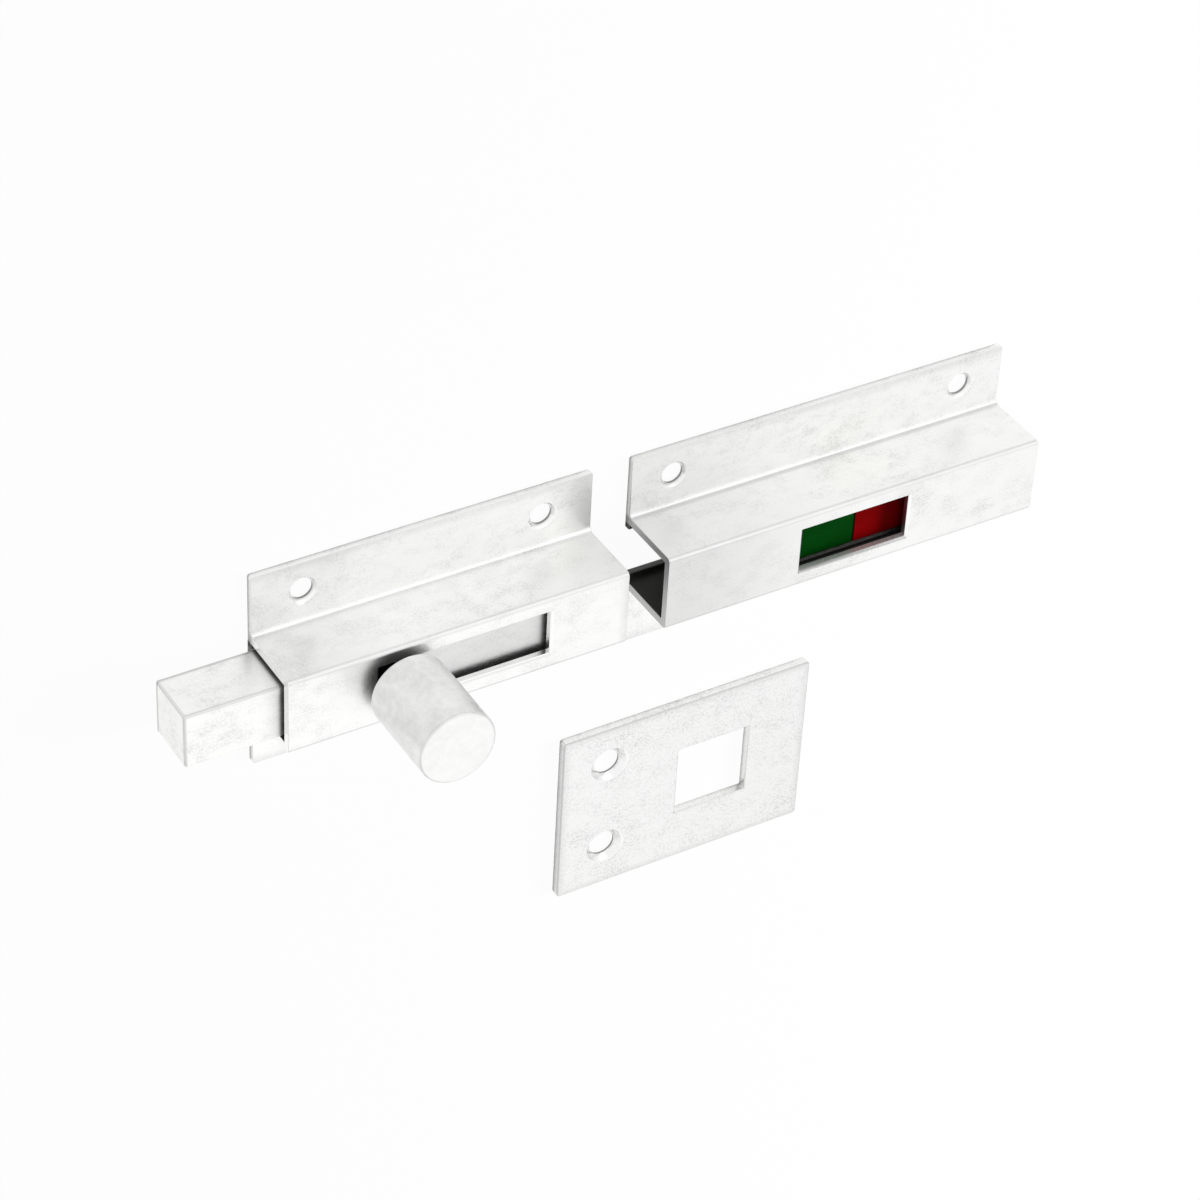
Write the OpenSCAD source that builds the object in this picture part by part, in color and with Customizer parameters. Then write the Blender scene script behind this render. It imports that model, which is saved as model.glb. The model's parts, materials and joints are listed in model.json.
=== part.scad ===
// Toilet indicator bolt, laid out as a set on its door faces: a square slide bolt in its casing,
// a green and red indicator in a matching casing, and a flat keep plate.
// X runs along the bolt, Y across the door face and Z out of the door face.
// The origin is the middle of the bolt casing's screw holes, on the door face.

/* [Casing section] */
// Height of the box that the bolt runs in
box_h = 17.6; // [16:0.2:22]
// Depth of the box, from the door face to its front
box_d = 17.2; // [15:0.2:22]
// Thickness of the front wall and side walls
wall_t = 1.8; // [1.2:0.1:2.6]
// Height over both screw flanges
flange_h = 46; // [42:1:60]
// Thickness of the screw flanges
flange_t = 1.5; // [1.3:0.1:3]
// Inward reach of the lips that hold the bolt in
lip_w = 1.3; // [0.8:0.1:2.5]
// Thickness of the lips
lip_t = 1.5; // [1:0.1:1.7]
// Radius of the front edges
edge_r = 1; // [0.4:0.1:1.8]
// Radius in the corner between flange and box
foot_r = 1.4; // [0.3:0.1:2]
// Radius of the flange corners
flange_corner_r = 0.6; // [0.4:0.1:4]
// Chamfer round the rims of the slot and the window
rim_chamfer = 0.5; // [0.1:0.1:0.9]

/* [Casing lengths and screw holes] */
// Length of the bolt casing
bolt_casing_l = 75; // [66:1:110]
// Length of the indicator casing
indicator_casing_l = 89.5; // [86:0.5:130]
// Diameter of a casing screw hole
screw_hole_d = 4.8; // [3.5:0.1:6]
// Diameter of a casing countersink at the surface
screw_head_d = 6.5; // [6.3:0.1:8]
// From the flange's outer edge to the screw holes
hole_edge = 6.9; // [4.5:0.1:7]
// From the bolt casing's ends to its screw holes
bolt_hole_inset = 11.2; // [6:0.1:20]
// From the indicator casing's ends to its screw holes
indicator_hole_inset = 10; // [6:0.1:20]

/* [Bolt] */
// Chamfer along the bar's edges
bar_chamfer = 0.5; // [0.2:0.1:1]
// How far the thrown bolt stands out of its casing
bolt_throw = 20.3; // [10:0.1:30]
// From the casing's nose end to the knob, bolt thrown
knob_x = 24.6; // [18:0.1:30]
// Length of the bar past the far end of the knob slot
tail_cover = 1.2; // [1:0.1:6]
// Height of the slot that the knob's neck runs in
slot_h = 10.2; // [8:0.1:11]

/* [Knob] */
// Diameter of the knob
knob_d = 16.4; // [13:0.1:24]
// Length of the knob
knob_l = 20.1; // [14:0.1:30]
// Gap between the knob and the casing's front
knob_gap = 2.2; // [0.8:0.1:5]
// Rounding of the knob's two rims
knob_rim_r = 0.6; // [0.2:0.1:2]
// Diameter of the screw that holds the knob
knob_screw_d = 4.8; // [3:0.1:6]
// Diameter of that screw's countersunk head
knob_screw_head_d = 9; // [8:0.1:9.6]
// How deep the screw goes into the knob
knob_bite = 9; // [5:0.5:12]

/* [Friction spring] */
// Length of the bowed leaf spring on the bar
spring_l = 30; // [20:1:36]
// Width of the leaf
spring_w = 6; // [4:0.5:9]
// Thickness of the leaf
spring_t = 0.4; // [0.2:0.1:0.6]
// Depth of the spring's seat in the bar
spring_seat_d = 1; // [0.6:0.1:1.6]

/* [Indicator] */
// Width of the window, which sets the travel of flag and bolt
window_w = 25.8; // [20:0.1:27]
// Height of the window
window_h = 10.3; // [7:0.1:11]
// How far the flags lie behind the casing's front
flag_setback = 3.5; // [3:0.1:6]
// Thickness of a flag
flag_t = 0.5; // [0.3:0.1:1]
// Bare edge of the slide above and below the flags
flag_edge = 1.6; // [0.2:0.1:2]
// How far a flag reaches past the window's edge at full travel
flag_spare = 1.5; // [1:0.1:2]
// Where the join of the two flags stands, right of the window's middle
flag_offset = 2; // [-6:0.5:6]
// Diameter of the stop pin in the casing's lower wall
stop_pin_d = 2.5; // [1.5:0.1:4]
// How far the stop pin reaches into the channel
stop_pin_reach = 1.4; // [1:0.1:2.5]
// Diameter of the drive hole in the backs of the bar and the slide
drive_hole_d = 4.2; // [3:0.1:5]
// Depth of the drive hole
drive_hole_l = 7; // [5:0.5:8]

/* [Keep plate] */
// Length of the keep plate
keep_l = 60.6; // [54:0.1:80]
// Height of the keep plate
keep_h = 42.6; // [38:0.1:60]
// Thickness of the keep plate
keep_t = 2.2; // [2:0.1:4]
// Radius of the keep plate's corners
keep_corner_r = 0.7; // [0.4:0.1:4]
// Room round the bolt in the keep's square hole
keep_room = 2.5; // [0.5:0.1:3]
// From the keep's far edge to its square hole
keep_hole_inset = 14.3; // [8:0.1:16]
// Diameter of a keep screw hole
keep_screw_d = 6; // [3.5:0.1:7]
// Diameter of a keep countersink at the surface
keep_head_d = 9.2; // [8.6:0.1:10.4]
// From the keep's near edge to its screw holes
keep_screw_inset = 11.4; // [8:0.1:14]
// Distance between the keep's two screw holes
keep_screw_pitch = 22.8; // [14:0.2:26]

/* [Layout] */
// Gap between the two casings
casing_gap = 9.1; // [4:0.1:40]
// From the bolt casing's nose end to the keep's near edge
keep_shift = 71.2; // [0:0.2:120]
// From the flanges' lower edge down to the keep
keep_drop = 22.4; // [4:0.2:60]

/* [Clearances] */
// Running clearance of bar and slide on the lips
run_clear = 0.15; // [0.1:0.05:0.3]
// Clearance over the bar, which the spring takes up
top_clear = 0.95; // [0.2:0.05:1.2]
// Clearance under the bar
low_clear = 0.35; // [0.2:0.05:0.6]
// Clearance between the bar and the casing's front wall
front_clear = 1.05; // [0.2:0.05:1.3]
// Clearance of the slide in the height of the channel
slide_clear = 0.3; // [0.2:0.05:0.6]
// Clearance of the knob's neck in the height of its slot
neck_clear = 0.2; // [0.1:0.05:0.4]
// Clearance left at each end of a travel
stop_clear = 0.2; // [0.1:0.05:0.4]
// Clearance between the spring's crown and the casing
spring_clear = 0.1; // [0.05:0.05:0.2]
// Radial clearance of a pin or screw in its hole
pin_clear = 0.03; // [0.02:0.01:0.1]
// Travel past the window's width, so that one flag fills it
travel_spare = 1.9; // [0.5:0.1:2.5]

/* [Hidden] */
$fn = 96;

// Overshoot of a cut past the face that it opens
cut = 1;
// Depth and width of the driver slot in the knob screw's head
driver_slot_d = 1.1;
driver_slot_w = 1.2;
// Room between the stop pin and the sides and floor of its groove
groove_room = 0.3;
// Room past a screw's tip in its blind hole
tip_room = 0.6;
// Chamfer along the slide's edges
slide_chamfer = 0.4;

channel_h = box_h - 2 * wall_t;
channel_d = box_d - wall_t - lip_t;
hole_y = flange_h / 2 - hole_edge;
travel = window_w + travel_spare;

nose_end = -bolt_casing_l / 2;
bar_h = channel_h - top_clear - low_clear;
bar_y = low_clear - channel_h / 2;
bar_d = channel_d - run_clear - front_clear;
bar_z = lip_t + run_clear;
bar_front = bar_z + bar_d;
knob_mid_x = nose_end + knob_x;
neck_d = slot_h - 2 * neck_clear;
neck_l = box_d + knob_gap - bar_front;
slot_x = knob_mid_x - neck_d / 2 - stop_clear;
slot_l = travel + neck_d + 2 * stop_clear;
bar_x = nose_end - bolt_throw;
bar_l = slot_x + slot_l + tail_cover - bar_x;
drive_x = knob_mid_x + (knob_screw_head_d + drive_hole_d) / 2 + drive_hole_d;

spring_y = bar_y + bar_h - spring_seat_d;
spring_z = bar_z + (bar_d - spring_w) / 2;
spring_rise = spring_seat_d + top_clear - spring_clear;

indicator_x = bolt_casing_l / 2 + casing_gap;
indicator_mid = indicator_x + indicator_casing_l / 2;
flag_l = window_w + travel_spare / 2 + flag_spare;
flag_join = indicator_mid + flag_offset;
slide_h = channel_h - 2 * slide_clear;
slide_z = lip_t + run_clear;
slide_d = box_d - flag_setback - flag_t - slide_z;
stop_pin_z = slide_z + slide_d / 2;
groove_l = travel + stop_pin_d + 2 * stop_clear;
groove_d = stop_pin_reach - slide_clear + groove_room;
groove_w = stop_pin_d + 2 * groove_room;

keep_x = nose_end + keep_shift;
keep_mid_y = -flange_h / 2 - keep_drop - keep_h / 2;
keep_hole_l = bar_d + 2 * keep_room;
keep_hole_h = bar_h + 2 * keep_room;

// Rectangle with rounded corners, centred
module rounded_rectangle(l, h, r) {
    square([l, h - 2 * r], center = true);
    square([l - 2 * r, h], center = true);
    for (x = [-1, 1], y = [-1, 1])
        translate([x * (l / 2 - r), y * (h / 2 - r)])
            circle(r);
}

// Rectangle with its corner at the origin and all corners cut at 45 degrees
module chamfered_rectangle(l, h, c) {
    polygon([[c, 0], [l - c, 0], [l, c], [l, h - c], [l - c, h], [c, h], [0, h - c], [0, c]]);
}

// Extrusion along X of a section drawn with Y across and Z up
module along_x(l) {
    rotate([90, 0, 90])
        linear_extrude(l)
            children();
}

// Block with its corner at the origin and a chamfer along every edge
module chamfered_block(l, w, h, c) {
    intersection() {
        linear_extrude(h)
            chamfered_rectangle(l, w, c);
        translate([0, w, 0])
            rotate([90, 0, 0])
                linear_extrude(w)
                    chamfered_rectangle(l, h, c);
        along_x(l)
            chamfered_rectangle(w, h, c);
    }
}

// Countersunk hole through a plate that lies on the door face
module screw_hole(hole_d, head_d, plate_t) {
    sink = (head_d - hole_d) / 2;
    translate([0, 0, -cut])
        cylinder(d = hole_d, h = plate_t + 2 * cut);
    translate([0, 0, plate_t - sink])
        cylinder(d1 = hole_d, d2 = head_d + 2 * cut, h = sink + cut);
}

// Hat section of both casings: two flanges, a box with rounded front edges, and lips at the back
module casing_section() {
    difference() {
        union() {
            translate([-flange_h / 2, 0])
                square([flange_h, flange_t]);
            translate([-box_h / 2, 0])
                square([box_h, box_d - edge_r]);
            translate([-box_h / 2 + edge_r, 0])
                square([box_h - 2 * edge_r, box_d]);
            for (side = [-1, 1]) {
                translate([side * (box_h / 2 - edge_r), box_d - edge_r])
                    circle(edge_r);
                translate([side * box_h / 2, flange_t])
                    mirror([side < 0 ? 1 : 0, 0])
                        difference() {
                            square(foot_r);
                            translate([foot_r, foot_r])
                                circle(foot_r);
                        }
            }
        }
        translate([-channel_h / 2, lip_t])
            square([channel_h, channel_d]);
        translate([-channel_h / 2 + lip_w, -cut])
            square([channel_h - 2 * lip_w, lip_t + 2 * cut]);
    }
}

// Casing blank of one length, from x = 0, with its four screw holes
module casing_blank(l, hole_inset) {
    difference() {
        intersection() {
            along_x(l)
                casing_section();
            translate([l / 2, 0, 0])
                linear_extrude(box_d)
                    rounded_rectangle(l, flange_h, flange_corner_r);
        }
        for (x = [hole_inset, l - hole_inset], y = [-hole_y, hole_y])
            translate([x, y, 0])
                screw_hole(screw_hole_d, screw_head_d, flange_t);
    }
}

// Block on its corner at the origin, whose four sides lean out at 45 degrees
module flared_block(l, h, t) {
    intersection() {
        translate([0, h + t, 0])
            rotate([90, 0, 0])
                linear_extrude(h + 2 * t)
                    polygon([[0, 0], [l, 0], [l + t, t], [-t, t]]);
        translate([-t, 0, 0])
            along_x(l + 2 * t)
                polygon([[0, 0], [h, 0], [h + t, t], [-t, t]]);
    }
}

// Opening cut through a casing's front wall, from x along the casing, with a chamfered rim
module front_opening(x, l, h) {
    translate([x, -h / 2, box_d - wall_t - cut])
        cube([l, h, wall_t + 2 * cut]);
    translate([x, -h / 2, box_d - rim_chamfer])
        flared_block(l, h, rim_chamfer + cut);
}

// Blind drive hole that opens on a back face at height z
module drive_hole(x, z) {
    translate([x, 0, z - cut])
        cylinder(d = drive_hole_d, h = drive_hole_l + cut);
}

module bolt_casing() {
    color("gainsboro")
        difference() {
            translate([nose_end, 0, 0])
                casing_blank(bolt_casing_l, bolt_hole_inset);
            front_opening(slot_x, slot_l, slot_h);
        }
}

module bolt_bar() {
    screw_d = knob_screw_d + 2 * pin_clear;
    head_d = knob_screw_head_d + 2 * pin_clear;
    color("silver")
        difference() {
            translate([bar_x, bar_y, bar_z])
                chamfered_block(bar_l, bar_h, bar_d, bar_chamfer);
            translate([knob_mid_x, 0, bar_z - cut]) {
                cylinder(d = screw_d, h = bar_d + 2 * cut);
                cylinder(d1 = head_d + 2 * cut, d2 = screw_d, h = (head_d - screw_d) / 2 + cut);
            }
            drive_hole(drive_x, bar_z);
            translate([knob_mid_x - spring_l / 2 - stop_clear, spring_y, spring_z - stop_clear])
                cube([spring_l + 2 * stop_clear, spring_seat_d + cut, spring_w + 2 * stop_clear]);
        }
}

// Leaf bowed to an arc: its ends stand in the seat and its crown rubs on the upper wall
module bolt_spring() {
    bow = spring_rise - spring_t;
    bow_r = (pow(spring_l / 2, 2) + pow(bow, 2)) / (2 * bow);
    color("slategray")
        translate([knob_mid_x, spring_y, spring_z])
            linear_extrude(spring_w)
                intersection() {
                    translate([0, bow - bow_r])
                        difference() {
                            circle(bow_r + spring_t);
                            circle(bow_r);
                        }
                    translate([-spring_l / 2, 0])
                        square([spring_l, spring_rise + cut]);
                }
}

// Turned knob with a neck that passes through the slot and seats on the bar
module bolt_knob() {
    color("gainsboro")
        translate([knob_mid_x, 0, bar_front])
            difference() {
                rotate_extrude() {
                    square([neck_d / 2, neck_l + knob_rim_r]);
                    translate([0, neck_l]) {
                        square([knob_d / 2 - knob_rim_r, knob_l]);
                        translate([0, knob_rim_r])
                            square([knob_d / 2, knob_l - 2 * knob_rim_r]);
                        for (z = [knob_rim_r, knob_l - knob_rim_r])
                            translate([knob_d / 2 - knob_rim_r, z])
                                circle(knob_rim_r);
                    }
                }
                translate([0, 0, -cut])
                    cylinder(d = knob_screw_d + 2 * pin_clear, h = cut + neck_l + knob_bite + tip_room);
            }
}

// Countersunk screw from the back of the bar into the knob
module knob_screw() {
    head_h = (knob_screw_head_d - knob_screw_d) / 2;
    shank_l = bar_d + neck_l + knob_bite;
    color("slategray")
        translate([knob_mid_x, 0, bar_z])
            difference() {
                rotate_extrude()
                    polygon([[0, 0], [knob_screw_head_d / 2, 0], [knob_screw_d / 2, head_h],
                             [knob_screw_d / 2, shank_l], [0, shank_l]]);
                translate([-knob_screw_head_d / 2 - cut, -driver_slot_w / 2, -cut])
                    cube([knob_screw_head_d + 2 * cut, driver_slot_w, driver_slot_d + cut]);
            }
}

module indicator_casing() {
    color("gainsboro")
        difference() {
            translate([indicator_x, 0, 0])
                casing_blank(indicator_casing_l, indicator_hole_inset);
            front_opening(indicator_mid - window_w / 2, window_w, window_h);
            translate([indicator_mid, -box_h / 2 - cut, stop_pin_z])
                rotate([-90, 0, 0])
                    cylinder(d = stop_pin_d + 2 * pin_clear, h = wall_t + 2 * cut);
        }
}

// Block that carries the two flags, with a groove underneath for the stop pin
module flag_slide() {
    color("silver")
        difference() {
            translate([flag_join - flag_l, -slide_h / 2, slide_z])
                chamfered_block(2 * flag_l, slide_h, slide_d, slide_chamfer);
            translate([flag_join - groove_l / 2, -slide_h / 2 - cut, stop_pin_z - groove_w / 2])
                cube([groove_l, groove_d + cut, groove_w]);
            drive_hole(flag_join, slide_z);
        }
}

// One coloured plate on the slide's face, from x along the slide
module flag(x) {
    translate([x, -slide_h / 2 + flag_edge, slide_z + slide_d])
        cube([flag_l - slide_chamfer, slide_h - 2 * flag_edge, flag_t]);
}

module green_flag() {
    color("darkgreen")
        flag(flag_join - flag_l + slide_chamfer);
}

module red_flag() {
    color("firebrick")
        flag(flag_join);
}

// Pin pressed into the casing's lower wall, which stops the slide at both ends of its travel
module stop_pin() {
    color("slategray")
        translate([indicator_mid, -box_h / 2, stop_pin_z])
            rotate([-90, 0, 0])
                cylinder(d = stop_pin_d, h = wall_t + stop_pin_reach);
}

// Flat plate for the door frame, with a square hole for the bolt's nose
module keep_plate() {
    color("gainsboro")
        translate([keep_x, keep_mid_y, 0])
            difference() {
                translate([keep_l / 2, 0, 0])
                    linear_extrude(keep_t)
                        rounded_rectangle(keep_l, keep_h, keep_corner_r);
                translate([keep_l - keep_hole_inset - keep_hole_l, -keep_hole_h / 2, -cut])
                    cube([keep_hole_l, keep_hole_h, keep_t + 2 * cut]);
                for (side = [-1, 1])
                    translate([keep_screw_inset, side * keep_screw_pitch / 2, 0])
                        screw_hole(keep_screw_d, keep_head_d, keep_t);
            }
}

bolt_casing();
bolt_bar();
bolt_spring();
bolt_knob();
knob_screw();
indicator_casing();
flag_slide();
green_flag();
red_flag();
stop_pin();
keep_plate();
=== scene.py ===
"""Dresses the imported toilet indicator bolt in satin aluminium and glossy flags, on a pale stage."""

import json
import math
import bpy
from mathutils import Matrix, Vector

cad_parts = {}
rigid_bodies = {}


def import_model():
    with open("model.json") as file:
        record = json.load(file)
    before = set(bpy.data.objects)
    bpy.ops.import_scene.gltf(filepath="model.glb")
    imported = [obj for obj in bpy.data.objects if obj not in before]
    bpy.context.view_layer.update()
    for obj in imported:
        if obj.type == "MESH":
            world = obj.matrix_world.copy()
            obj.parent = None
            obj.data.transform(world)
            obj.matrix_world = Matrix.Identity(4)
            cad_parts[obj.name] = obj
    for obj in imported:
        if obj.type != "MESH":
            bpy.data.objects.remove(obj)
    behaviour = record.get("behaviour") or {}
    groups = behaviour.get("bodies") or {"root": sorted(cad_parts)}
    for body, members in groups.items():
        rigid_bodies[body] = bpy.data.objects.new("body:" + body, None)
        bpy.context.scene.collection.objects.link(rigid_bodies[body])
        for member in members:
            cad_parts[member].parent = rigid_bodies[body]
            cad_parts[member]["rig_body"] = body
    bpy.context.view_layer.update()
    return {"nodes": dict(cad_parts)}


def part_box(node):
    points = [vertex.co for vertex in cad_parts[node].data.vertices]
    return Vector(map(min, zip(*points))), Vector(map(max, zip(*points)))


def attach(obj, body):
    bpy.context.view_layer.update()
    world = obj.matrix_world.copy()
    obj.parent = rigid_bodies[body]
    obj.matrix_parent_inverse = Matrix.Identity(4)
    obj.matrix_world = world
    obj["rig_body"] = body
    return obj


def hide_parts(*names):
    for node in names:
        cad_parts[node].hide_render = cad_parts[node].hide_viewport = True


bl_info = {
    "name": "Toilet indicator bolt",
    "version": (1, 0, 0),
    "blender": (4, 5, 0),
    "location": "View3D > Sidebar > Indicator bolt",
    "description": "Finishes the pieces of a toilet indicator bolt and sets up its camera, light and floor",
    "category": "Object",
}

import bmesh
import bpy
import numpy as np
from bpy.props import FloatProperty, FloatVectorProperty, IntProperty, PointerProperty
from bpy.types import Operator, Panel, PropertyGroup
from mathutils import Matrix, Vector

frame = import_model()

MM = 0.001
# Corners sharper than this are crisp, and flatter ones belong to a curve
SHARP_ANGLE = math.radians(32)
# Corners sharper than this are rounded over, and flatter ones are chamfers and countersinks
EASED_ANGLE = math.radians(50)
# Facets that lie this flat to each other are one plane
FLAT_ANGLE = math.radians(0.4)
# Points closer than this are one point
WELD = 1e-6
# Spare room where the place of a face is compared with a size
SPARE = 0.05 * MM
# A face looks along an axis where its normal's part along that axis is over this
FACING = 0.9
# Screw holes lie further than this from the edges of a plate
HOLE_EDGE = 4 * MM
# Countersinks lie lower than this
PLATE_TOP = 2.2 * MM


def corners_of(node):
    """Lowest and highest corner of a solid, as arrays."""
    low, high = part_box(node)
    return np.array(low), np.array(high)


# Settings that a user would change


def length(name, description, default):
    """A size in metres with a length unit."""
    return FloatProperty(name=name, description=description, default=default, min=0.0, precision=5,
                         unit="LENGTH")


def colour(name, description, default):
    """A linear colour."""
    return FloatVectorProperty(name=name, description=description, default=default, size=3,
                               min=0.0, max=1.0, subtype="COLOR")


def share(name, description, default):
    """A number from 0 to 1."""
    return FloatProperty(name=name, description=description, default=default, min=0.0, max=1.0,
                         subtype="FACTOR")


def strength(name, description, default, unit="NONE"):
    """A strength or a power of light."""
    return FloatProperty(name=name, description=description, default=default, min=0.0, unit=unit)


def count(name, description, default, least):
    """A whole number of steps."""
    return IntProperty(name=name, description=description, default=default, min=least)


class BoltShape(PropertyGroup):
    """Sizes of the fine shapes that finish the solids."""

    casing_edge: length("Casing edge", "Radius on the casings' sharp edges", 0.16 * MM)
    keep_edge: length("Keep edge", "Radius on the keep's sharp edges", 0.28 * MM)
    bar_edge: length("Bar edge", "Radius on the bar's and slide's edges", 0.14 * MM)
    small_edge: length("Small edge", "Radius on the edges of screw, pin and spring", 0.1 * MM)
    flag_edge: length("Flag edge", "Radius on the edges of the flags", 0.24 * MM)
    channel_half: length("Channel half", "Half the height of the channel in a casing", 7.0 * MM)
    channel_front: length("Channel front", "Height of the channel's front over the door", 15.4 * MM)
    lip: length("Lip", "Thickness of the lips at the back of the channel", 1.5 * MM)
    wall: length("Wall", "Thickness of the casings' walls", 1.8 * MM)
    keep_hole: length("Keep hole", "Side of the keep's square hole", 17.7 * MM)
    keep_hole_inset: length("Keep hole inset", "From the keep's far edge to that hole", 14.3 * MM)
    keep_screw_zone: length("Keep screw zone", "From the keep's near edge to past its screws", 18 * MM)
    edge_steps: count("Edge steps", "Facets across a rounded edge", 3, 1)
    rim_steps: count("Rim steps", "Facets across a rim of the knob", 8, 1)
    neck_radius: length("Neck radius", "Radius of the knob's neck", 4.9 * MM)
    neck_length: length("Neck length", "Neck from the bar's face to the knob's base", 5.05 * MM)
    knob_rim: length("Knob rim", "Radius on both rims of the knob", 0.6 * MM)
    bore_radius: length("Bore radius", "Radius of the knob's screw hole", 2.43 * MM)
    bore_depth: length("Bore depth", "Depth of the screw hole from the neck's foot", 14.65 * MM)
    spring_thickness: length("Spring thickness", "Thickness of the leaf", 0.4 * MM)
    spring_stations: count("Spring stations", "Sections along the leaf spring", 61, 3)
    turn_steps: count("Turn steps", "Facets round a turned piece", 128, 24)


class BoltFinish(PropertyGroup):
    """Colours and textures of the finishes."""

    casing_tone: colour("Bolt casing", "Satin aluminium of the bolt's casing", (0.96, 0.96, 0.955))
    # Set a little darker than the bolt casing as painted shade, for the dimmer light on it
    indicator_tone: colour("Indicator casing", "Satin aluminium of its casing", (0.945, 0.946, 0.94))
    bar_tone: colour("Bar", "Satin aluminium of the bolt bar", (0.945, 0.945, 0.94))
    knob_tone: colour("Knob", "Turned aluminium of the knob", (0.895, 0.895, 0.89))
    keep_tone: colour("Keep", "Satin aluminium of the keep", (0.86, 0.861, 0.857))
    slide_tone: colour("Slide", "Plain aluminium of the flag slide", (0.80, 0.80, 0.79))
    # Painted shade: the dark of the channels and of the screw bores is painted into this tone
    inside_shade_tone: colour("Inside", "Dull metal inside the casings", (0.16, 0.16, 0.156))
    # Painted shade: the near-black of the knob's neck and base stands for the shade in the gap under the
    # knob
    knob_shade_tone: colour("Under the knob", "Dull metal of the knob's neck", (0.05, 0.05, 0.048))
    steel_tone: colour("Steel", "Steel of the screw, pin and spring", (0.50, 0.50, 0.51))
    green: colour("Green", "Colour of the flag that shows vacant", (0.0014, 0.056, 0.0045))
    red: colour("Red", "Colour of the flag that shows engaged", (0.235, 0.0013, 0.0022))
    cloudiness: share("Cloudiness", "How far the satin's shade drifts over a piece", 0.18)
    satin: share("Satin", "Roughness of the satin aluminium", 0.36)


class BoltStage(PropertyGroup):
    """Camera, light and floor."""

    eye: FloatVectorProperty(name="Eye", description="Place of the camera",
                             default=(-0.2864, 0.4670, 0.5185), subtype="XYZ", unit="LENGTH")
    aim: FloatVectorProperty(name="Aim", description="Direction of view",
                             default=(0.4217, -0.6149, -0.6664), subtype="DIRECTION")
    up: FloatVectorProperty(name="Up", description="Direction that is up in the picture",
                            default=(0.2802, 0.7873, -0.5492), subtype="DIRECTION")
    lens: FloatProperty(name="Lens", description="Focal length on a 36 mm sensor", default=114.9,
                        unit="CAMERA")
    sky: strength("Sky", "Strength of the surroundings on matt surfaces", 0.30)
    room: strength("Room", "Strength of the white room that metal mirrors", 1.0)
    horizon: strength("Horizon", "Strength of the room's mirrored horizon", 0.62)
    key: strength("Key", "Power of the soft key light on matt surfaces", 7.9, "POWER")
    front: strength("Front", "Power of the sheen on the fronts", 0.035, "POWER")
    back: strength("Back", "Power of the sheen on the flanges", 0.19, "POWER")
    floor_tone: colour("Floor tone", "Matt colour of the floor", (0.93, 0.93, 0.925))
    floor_white: share("Floor white", "How far the floor's own white covers the shadow on it", 0.955)
    floor_mirrored: share("Floor mirrored", "How white the open floor is in reflections", 0.95)
    floor_under: share("Floor under", "Share of that white left along the pieces' outlines", 0.0)
    floor_between: share("Floor between", "Share of that white left between the casings", 0.55)
    floor_inside: share("Floor inside", "Share of that white left inside the casings", 0.1)


# Surfaces


def mesh_object(name, points, faces):
    """An object at the origin from whole arrays: points (n, 3) in metres and faces (m, 4), welded and
    closed. Corners that fall together are merged, so poles and seams close, and the faces are turned
    outwards."""
    mesh = bpy.data.meshes.new(name)
    mesh.from_pydata(np.asarray(points).reshape(-1, 3).tolist(), [], np.asarray(faces).tolist())
    body = bmesh.new()
    body.from_mesh(mesh)
    bmesh.ops.remove_doubles(body, verts=body.verts, dist=WELD)
    bmesh.ops.dissolve_degenerate(body, edges=body.edges, dist=WELD)
    bmesh.ops.recalc_face_normals(body, faces=body.faces)
    body.to_mesh(mesh)
    body.free()
    return placed(name, mesh)


def placed(name, mesh):
    """Links a mesh as an object, smooth over its curves, crisp at its corners and flat on its flats."""
    piece = bpy.data.objects.new(name, mesh)
    bpy.context.scene.collection.objects.link(piece)
    mesh.shade_smooth()
    mesh.set_sharp_from_angle(angle=SHARP_ANGLE)
    flat = piece.modifiers.new("flat faces stay flat", "WEIGHTED_NORMAL")
    flat.keep_sharp = True
    return piece


def grid_faces(rows, columns):
    """Four-cornered faces of a grid of points, each row of which closes on itself."""
    row, column = np.meshgrid(np.arange(rows - 1), np.arange(columns), indexing="ij")
    next_row = row + 1
    next_column = (column + 1) % columns
    faces = np.stack([row * columns + column, row * columns + next_column,
                      next_row * columns + next_column, next_row * columns + column], axis=-1)
    return faces.reshape(-1, 4)


def rounded_path(corners, radii, steps, closed):
    """Rounds the corners of a flat path: each corner becomes an arc that touches both of its legs.
    With w half the angle between the unit legs, the arc's centre lies radius / sin(w) along their
    middle, and the arc turns from one touching point to the other at an even rate."""
    corners = np.asarray(corners, float)
    radii = np.broadcast_to(np.asarray(radii, float), len(corners)).copy()
    before = np.roll(corners, 1, axis=0) - corners
    after = np.roll(corners, -1, axis=0) - corners
    if not closed:
        radii[[0, -1]] = 0.0
        before[0] = -after[0]
        after[-1] = -before[-1]
    before /= np.linalg.norm(before, axis=1, keepdims=True)
    after /= np.linalg.norm(after, axis=1, keepdims=True)
    half = np.arccos(np.clip((before * after).sum(1), -1, 1)) / 2
    radii = np.where(np.sin(half) > 0.999, 0.0, radii)
    middle = before + after
    middle /= np.maximum(np.linalg.norm(middle, axis=1, keepdims=True), 1e-9)
    centre = corners + middle * (radii / np.sin(half))[:, None]
    reach = (radii / np.tan(half))[:, None]
    first = corners + before * reach - centre
    last = corners + after * reach - centre
    turn = np.pi - 2 * half
    turn = np.where(turn < 1e-6, 1e-6, turn)[:, None, None]
    part = np.linspace(0, 1, steps + 1)[None, :, None]
    arc = (np.sin((1 - part) * turn) * first[:, None] + np.sin(part * turn) * last[:, None]) / np.sin(turn)
    path = (centre[:, None] + arc).reshape(-1, 2)
    apart = np.linalg.norm(path - np.roll(path, 1, axis=0), axis=1) > WELD
    apart[0] = True
    return path[apart]


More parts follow.
